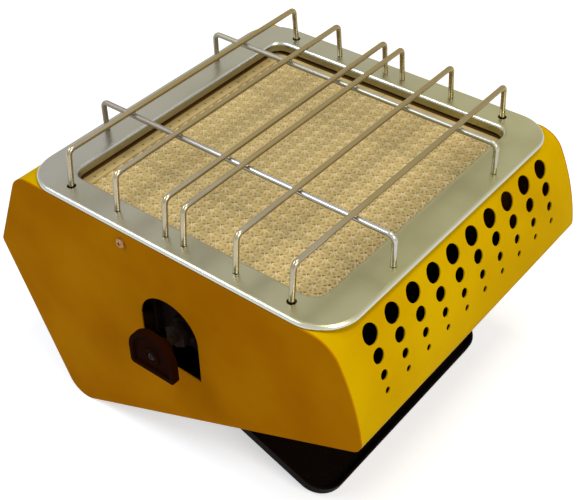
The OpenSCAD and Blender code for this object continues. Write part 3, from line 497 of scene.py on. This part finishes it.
# The field: rows of cells, every other row moved by half a cell, each with a tone of its own
tree = field_tree = node_group("star_field", [
    ("Slab", "Geometry", None),
    ("Cell", "Object", None),
    ("Pitch", "Float", cell_pitch),
    ("Row pitch", "Float", cell_row),
    ("Columns", "Int", columns),
    ("Rows", "Int", rows),
    ("First cell", "Vector", None),
    ("Odd row", "Int", 0),
    ("Seed", "Int", 1),
    ("Finish", "Material", None),
], "Tile")
inputs = add(tree, "NodeGroupInput").outputs
total = add(tree, "ShaderNodeMath", {0: inputs["Columns"], 1: inputs["Rows"]}, operation="MULTIPLY")
dots = add(tree, "GeometryNodePoints", {"Count": total})
number = add(tree, "GeometryNodeInputIndex")
ratio = add(tree, "ShaderNodeMath", {0: number, 1: inputs["Columns"]}, operation="DIVIDE")
row = add(tree, "ShaderNodeMath", {0: ratio}, operation="FLOOR")
column = add(tree, "ShaderNodeMath", {0: number, 1: inputs["Columns"]}, operation="MODULO")
count = add(tree, "ShaderNodeMath", {0: row, 1: inputs["Odd row"]}, operation="ADD")
odd = add(tree, "ShaderNodeMath", {0: count, 1: 2.0}, operation="MODULO")
half = add(tree, "ShaderNodeMath", {0: odd, 1: 0.5}, operation="MULTIPLY")
moved = add(tree, "ShaderNodeMath", {0: column, 1: half}, operation="ADD")
along = add(tree, "ShaderNodeMath", {0: moved, 1: inputs["Pitch"]}, operation="MULTIPLY")
across = add(tree, "ShaderNodeMath", {0: row, 1: inputs["Row pitch"]}, operation="MULTIPLY")
offset = add(tree, "ShaderNodeCombineXYZ", {"X": along, "Y": across})
spot = add(tree, "ShaderNodeVectorMath", {0: offset, 1: inputs["First cell"]}, operation="ADD")
placed = add(tree, "GeometryNodeSetPosition", {"Geometry": dots, "Position": spot})
source = add(tree, "GeometryNodeObjectInfo", {"Object": inputs["Cell"]}).outputs["Geometry"]
cells = add(tree, "GeometryNodeInstanceOnPoints", {"Points": placed, "Instance": source})
tone = add(tree, "FunctionNodeRandomValue", {"Seed": inputs["Seed"]}, data_type="FLOAT")
toned = add(tree, "GeometryNodeStoreNamedAttribute", {
    "Geometry": cells, "Name": "tone", "Value": tone,
}, data_type="FLOAT", domain="INSTANCE")
whole = add(tree, "GeometryNodeJoinGeometry", {"Geometry": toned})
tree.links.new(inputs["Slab"], whole.inputs["Geometry"])
plain = add(tree, "GeometryNodeRealizeInstances", {"Geometry": whole})
fired = add(tree, "GeometryNodeSetMaterial", {"Geometry": plain, "Material": inputs["Finish"]})
add(tree, "NodeGroupOutput", {"Tile": fired})


# Fired cordierite: matt, porous, straw-coloured, with a painted highlight on the crests and painted
# shade in the holes
def fired_ceramic(tree):
    crest_highlight = 0.72
    place = add(tree, "ShaderNodeTexCoord").outputs["Object"]
    patch = add(tree, "ShaderNodeTexNoise", {"Vector": place, "Scale": 26.0, "Detail": 2.0})
    own = add(tree, "ShaderNodeAttribute", attribute_name="tone").outputs["Fac"]
    tone = add(tree, "ShaderNodeMath", {0: own, 1: patch}, operation="MULTIPLY")
    clay = add(tree, "ShaderNodeMix", {
        "Factor": tone, "A": linear("BAA56E"), "B": linear("A8945C"),
    }, data_type="RGBA")
    crest = add(tree, "ShaderNodeAttribute", attribute_name="crest").outputs["Fac"]
    # Painted highlight: the higher a point stands on the star, the paler it is drawn
    highlight_share = add(tree, "ShaderNodeMath", {0: crest, 1: crest_highlight}, operation="MULTIPLY")
    crest_highlighted = add(tree, "ShaderNodeMix", {
        "Factor": highlight_share, "A": clay, "B": linear("F0E0B2"),
    }, data_type="RGBA")
    pore = add(tree, "ShaderNodeTexNoise", {"Vector": place, "Scale": 1500.0, "Detail": 3.0})
    speck = add(tree, "ShaderNodeMapRange", {
        "Value": pore, "From Min": 0.55, "From Max": 0.75, "To Max": 0.35,
    })
    porous = add(tree, "ShaderNodeMix", {
        "Factor": speck, "A": crest_highlighted, "B": linear("90804E"),
    }, data_type="RGBA")

    # The margin's ports, one to a cell's width, drawn only as painted shade round the middle of
    # each
    x, y, _ = add(tree, "ShaderNodeSeparateXYZ", {"Vector": place}).outputs
    along = add(tree, "ShaderNodeMath", {0: x, 1: cell_pitch / 2}, operation="PINGPONG")
    side = add(tree, "ShaderNodeMath", {0: y, 1: -centre_y}, operation="ADD")
    side = add(tree, "ShaderNodeMath", {0: side}, operation="ABSOLUTE")
    side = add(tree, "ShaderNodeMath", {0: side, 1: margin_port_y}, operation="SUBTRACT")
    offset = add(tree, "ShaderNodeCombineXYZ", {"X": along, "Y": side})
    away = add(tree, "ShaderNodeVectorMath", {"Vector": offset}, operation="LENGTH")
    drilled = add(tree, "ShaderNodeMapRange", {
        "Value": away, "From Min": margin_port_r, "From Max": margin_port_rim,
        "To Min": 0.75, "To Max": 0.0,
    })
    port = add(tree, "ShaderNodeAttribute", attribute_name="port").outputs["Fac"]
    # Painted shade in the holes and in the margin's ports
    pressed = add(tree, "ShaderNodeMapRange", {"Value": port, "From Min": 0.0, "From Max": 0.55})
    painted_hole_shade = add(tree, "ShaderNodeMath", {0: pressed, 1: drilled}, operation="MAXIMUM")
    colour = add(tree, "ShaderNodeMix", {
        "Factor": painted_hole_shade, "A": porous, "B": linear("584620"),
    }, data_type="RGBA")
    bump = add(tree, "ShaderNodeBump", {"Strength": 0.5, "Distance": 0.2 * MM, "Height": pore})
    return {"Base Color": colour, "Normal": bump}


ceramic = surface("fired_cordierite", {"Roughness": 0.92, "Specular IOR Level": 0.2}, fired_ceramic)


def tile_slab(node, side):
    """The tile's body: a sunk floor under the cells, and a plain margin on three sides."""
    low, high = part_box(node)
    seam = high.y if side < 0 else low.y
    outer = low.y if side < 0 else high.y
    inner = centre_y - field_front if side < 0 else centre_y + field_rear
    sunk_z = tile_top - field_drop - cell_base
    slab = bmesh.new()

    def block(x0, x1, y0, y1, z0, z1):
        verts = bmesh.ops.create_cube(slab, size=1.0)["verts"]
        size = Matrix.Diagonal((x1 - x0, abs(y1 - y0), z1 - z0, 1.0))
        middle = Matrix.Translation(((x0 + x1) / 2, (y0 + y1) / 2, (z0 + z1) / 2))
        bmesh.ops.transform(slab, matrix=middle @ size, verts=verts)

    block(low.x, high.x, seam, outer, low.z, sunk_z)
    block(low.x, high.x, inner, outer, sunk_z, tile_top)
    block(low.x, centre_x - field_x, seam, inner, sunk_z, tile_top)
    block(centre_x + field_x, high.x, seam, inner, sunk_z, tile_top)
    made = bpy.data.meshes.new(node + "_slab")
    slab.to_mesh(made)
    slab.free()
    return made


cell = star_cell()
first_x = centre_x - (columns - 0.5) * cell_pitch / 2
for node, side, seed in (("ceramic_tile_front", -1, 3), ("ceramic_tile_rear", 1, 8)):
    first_y = centre_y + (cell_row / 2 if side > 0 else -cell_row / 2 - (rows - 1) * cell_row)
    tile = run_nodes("fired_" + node, tile_slab(node, side), field_tree, {
        "Cell": cell, "First cell": (first_x, first_y, tile_top - field_drop),
        "Odd row": 0 if side > 0 else rows % 2, "Seed": seed, "Finish": ceramic,
    })
    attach(tile, "housing")
    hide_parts(node)


# ---------- Gas tap and pipe ----------
# Turned and milled brass tap, gland nut, jet and pipe nuts, a drawn copper pipe to the
# back, and the threaded inlet through the lower back with its lock nut.
brass = surface(
    "turned_brass", {"Metallic": 1.0},
    mottled("C9A356", "8F6C34", 180.0, 3.0, roughness=(0.20, 0.42))
)
finish_nodes(brass, "gas_jet", "pipe_nuts", "gas_inlet")

# The tap itself stands in the burner's heat, in the shade behind the cheek's window, and its brass
# is painted near black as that shade
tap_brass_painted_shade = surface(
    "tap_brass_painted_shade", {"Metallic": 0.05, "Specular IOR Level": 0.02},
    mottled("2A1C12", "160E08", 180.0, 3.0, roughness=(0.55, 0.75))
)
finish_nodes(tap_brass_painted_shade, "valve_body", "gland_nut", "valve_spindle")

copper = surface(
    "drawn_copper", {"Metallic": 1.0, "Roughness": 0.32}, mottled("B87350", "6E3F2A", 90.0, 3.0)
)
finish_nodes(copper, "gas_pipe")
finish_nodes(zinc, "inlet_lock_nut")


# ---------- Knob ----------
# Moulded black phenolic knob with a raised, rounded rim, a recessed face and a low boss
# round its screw. It is pressed on the flat of the spindle.
knob_edge = 0.55 * MM
phenolic = surface(
    "moulded_phenolic_black", {"IOR": 1.6, "Specular IOR Level": 0.001},
    mottled("240C03", "180702", 1100.0, 2.0, roughness=(0.26, 0.44), relief=(0.2, 0.1 * MM))
)
grip = softened("knob", radius=knob_edge, steps=3, finish=phenolic)
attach(grip, "knob")
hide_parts("knob")

# Its screw is black oxide steel, oiled, with bare metal showing where it is rubbed
black_oxide = surface(
    "black_oxide_steel", {"Metallic": 0.1, "Roughness": 0.38, "Specular IOR Level": 0.04},
    mottled("241A14", "120A08", 900.0, 2.0)
)
finish_nodes(black_oxide, "knob_screw")


# ---------- Top plate ----------
# Pressed stainless sheet with a rolled edge and a flanged mouth, satin from the rolling
# mill, clouded and tinted straw towards the front and right, with a painted highlight along the
# bends.
bend_start = plate_top - 0.2 * MM
bend_bright = plate_top - 0.8 * MM
bend_fade = plate_top - 1.6 * MM
bend_end = plate_top - 2.6 * MM


def rolled_steel(tree):
    tint_to_front = -2.5
    tint_clouds = 0.30
    bend_dullness = -0.12
    buckle = 12.0
    place = add(tree, "ShaderNodeTexCoord").outputs["Object"]
    cloud = add(tree, "ShaderNodeTexNoise", {"Vector": place, "Scale": 22.0, "Detail": 3.0})
    x, y, z = add(tree, "ShaderNodeSeparateXYZ", {"Vector": place}).outputs

    # The tint grows to the right, and more to the front, in clouds
    slant = add(tree, "ShaderNodeMath", {0: y, 1: tint_to_front, 2: x}, operation="MULTIPLY_ADD")
    blot = add(tree, "ShaderNodeMath", {
        0: cloud, 1: tint_clouds, 2: slant,
    }, operation="MULTIPLY_ADD")
    heat = add(tree, "ShaderNodeMapRange", {"Value": blot, "From Min": -0.20, "From Max": 0.42})
    clean = add(tree, "ShaderNodeMix", {
        "Factor": cloud, "A": linear("ACA89E"), "B": linear("8C8A7E"),
    }, data_type="RGBA")
    straw = add(tree, "ShaderNodeMix", {
        "Factor": cloud, "A": linear("BAB58A"), "B": linear("8E8A62"),
    }, data_type="RGBA")
    tinted = add(tree, "ShaderNodeMix", {"Factor": heat, "A": clean, "B": straw}, data_type="RGBA")

    # The bends, just below the flat, are smoother and carry a painted highlight, pale bluish white
    below = add(tree, "ShaderNodeMapRange", {
        "Value": z, "From Min": bend_start, "From Max": bend_bright,
    })
    above = add(tree, "ShaderNodeMapRange", {
        "Value": z, "From Min": bend_end, "From Max": bend_fade, "To Max": 0.4,
    })
    # Painted highlight along the bends
    bend_highlight = add(tree, "ShaderNodeMath", {0: below, 1: above}, operation="MULTIPLY")
    colour = add(tree, "ShaderNodeMix", {
        "Factor": bend_highlight, "A": tinted, "B": linear("DCE4EA"),
    }, data_type="RGBA")
    satin = add(tree, "ShaderNodeMapRange", {
        "Value": cloud, "From Min": 0.3, "From Max": 0.7, "To Min": 0.24, "To Max": 0.40,
    })
    gloss = add(tree, "ShaderNodeMath", {
        0: bend_highlight, 1: bend_dullness, 2: satin,
    }, operation="MULTIPLY_ADD")
    grain = add(tree, "ShaderNodeTexNoise", {"Vector": place, "Scale": 1300.0, "Detail": 2.0})
    wavy = add(tree, "ShaderNodeMath", {0: cloud, 1: buckle, 2: grain}, operation="MULTIPLY_ADD")
    bump = add(tree, "ShaderNodeBump", {"Strength": 0.12, "Distance": 0.2 * MM, "Height": wavy})
    return {"Base Color": colour, "Roughness": gloss, "Normal": bump}


finish_nodes(surface("rolled_stainless", {"Metallic": 1.0}, rolled_steel), "top_plate")


# ---------- Wire guard ----------
# Eight lengths of 3.5 mm wire, bent, spot welded where they cross and chromed. The four
# corner legs plug into the plate, and the others stand on it.
legs_top = plate_top + 14 * MM
span_z = plate_top + 24 * MM
plate_x = centre_x - 100 * MM
burner_x = centre_x - 40 * MM
clear_y = centre_y - 5 * MM
# Towards the rear a wire is painted darker, a painted fade of the window's reflection, and made
# rougher
reflection_fade_y = centre_y + 45 * MM
reflection_fade_roughening = 0.35
nugget_r = 1.25 * MM
nugget_shape = (1.35, 1.1, 0.72)


# The plating stays bright on the legs and turns straw brown where a wire crosses the burner,
# partly heat tint and partly painted warm reflection, and may be painted darker and rougher towards
# the rear, where the window's reflection fades
def chromed(clean, tinted, straw, dullest, reflection_fade_strength=0.0):
    def build(tree):
        place = add(tree, "ShaderNodeTexCoord").outputs["Object"]
        wipe = add(tree, "ShaderNodeTexNoise", {"Vector": place, "Scale": 45.0, "Detail": 2.0})
        x, y, z = add(tree, "ShaderNodeSeparateXYZ", {"Vector": place}).outputs
        up = add(tree, "ShaderNodeMapRange", {
            "Value": z, "From Min": legs_top, "From Max": span_z,
        })
        inward = add(tree, "ShaderNodeMapRange", {
            "Value": x, "From Min": plate_x, "From Max": burner_x, "To Min": 0.25,
        })
        heat = add(tree, "ShaderNodeMath", {0: up, 1: inward}, operation="MULTIPLY")
        reflection_fade = add(tree, "ShaderNodeMapRange", {
            "Value": y, "From Min": clear_y, "From Max": reflection_fade_y, "To Max": reflection_fade_strength,
        })
        plating = add(tree, "ShaderNodeMix", {
            "Factor": wipe, "A": linear(clean), "B": linear(tinted),
        }, data_type="RGBA")
        straw_tinted = add(tree, "ShaderNodeMix", {
            "Factor": heat, "A": plating, "B": linear(straw),
        }, data_type="RGBA")
        colour = add(tree, "ShaderNodeMix", {
            "Factor": reflection_fade, "A": straw_tinted, "B": linear("847C6E"),
        }, data_type="RGBA")
        wiped = add(tree, "ShaderNodeMapRange", {"Value": wipe, "To Min": 0.16, "To Max": 0.24})
        dull = add(tree, "ShaderNodeMath", {
            0: heat, 1: dullest, 2: wiped,
        }, operation="MULTIPLY_ADD")
        duller = add(tree, "ShaderNodeMath", {
            0: reflection_fade, 1: reflection_fade_roughening, 2: dull,
        }, operation="MULTIPLY_ADD")
        return {"Base Color": colour, "Roughness": duller}
    return build


chrome = surface(
    "chromed_wire", {"Metallic": 1.0}, chromed("BAB8B2", "9A978C", "ACACA4", 0.05, 0.95)
)
dull_chrome = surface(
    "chromed_wire_dulled", {"Metallic": 1.0}, chromed("B2B0A4", "94917F", "A09C88", 0.25, 0.5)
)
# The long wires' straw brown over the burner is heat tint and painted warm reflection
heat_tint_and_reflection_chrome = surface(
    "chromed_wire_heat_tint_and_painted_reflection", {"Metallic": 1.0}, chromed("B4AC98", "8E8674", "908058", 0.20)
)
wires = sorted(name for name in cad if name.startswith("guard_wire_"))
crosses = sorted(name for name in cad if name.startswith("guard_cross_"))
finish_nodes(heat_tint_and_reflection_chrome, *wires)
finish_nodes(chrome, crosses[0])
finish_nodes(dull_chrome, crosses[1])

# The welds: squat nuggets where the wires cross, each turned and swollen a little its own way
tree = weld_tree = node_group("spot_welds", [
    ("Crossings", "Geometry", None),
    ("Nugget", "Float", nugget_r),
    ("Seed", "Int", 5),
    ("Finish", "Material", None),
], "Welds")
inputs = add(tree, "NodeGroupInput").outputs
bead = add(tree, "GeometryNodeMeshIcoSphere", {"Radius": inputs["Nugget"], "Subdivisions": 2})
turn = add(tree, "FunctionNodeRandomValue", {
    "Min": (0.0, 0.0, 0.0), "Max": (0.0, 0.0, 6.28), "Seed": inputs["Seed"],
}, data_type="FLOAT_VECTOR")
swell = add(tree, "FunctionNodeRandomValue", {
    "Min": 0.85, "Max": 1.15, "Seed": inputs["Seed"],
}, data_type="FLOAT")
squat = add(tree, "ShaderNodeVectorMath", {
    "Vector": nugget_shape, "Scale": swell,
}, operation="SCALE")
beads = add(tree, "GeometryNodeInstanceOnPoints", {
    "Points": inputs["Crossings"], "Instance": bead, "Rotation": turn, "Scale": squat,
})
plain = add(tree, "GeometryNodeRealizeInstances", {"Geometry": beads})
smooth = add(tree, "GeometryNodeSetShadeSmooth", {"Geometry": plain})
coated = add(tree, "GeometryNodeSetMaterial", {"Geometry": smooth, "Material": inputs["Finish"]})
add(tree, "NodeGroupOutput", {"Welds": coated})

crossings = []
for wire in wires:
    wire_low, wire_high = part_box(wire)
    for cross in crosses:
        cross_low, cross_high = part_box(cross)
        crossings.append((
            (cross_low.x + cross_high.x) / 2, (wire_low.y + wire_high.y) / 2, cross_high.z
        ))
weld_spots = bpy.data.meshes.new("crossings")
weld_spots.from_pydata(crossings, [], [])
welds = run_nodes("guard_welds", weld_spots, weld_tree, {"Finish": chrome})
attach(welds, "guard")


# ---------- Side screws ----------
# Cross-recessed screws of yellow-passivated steel, dulled by handling. They go through
# the cheeks into the burner tray's tabs.
passivated = surface(
    "yellow_passivated_steel", {"Metallic": 0.85, "Roughness": 0.42},
    mottled("B98C58", "6E4C28", 700.0, 3.0)
)
finish_nodes(passivated, "panel_screws")
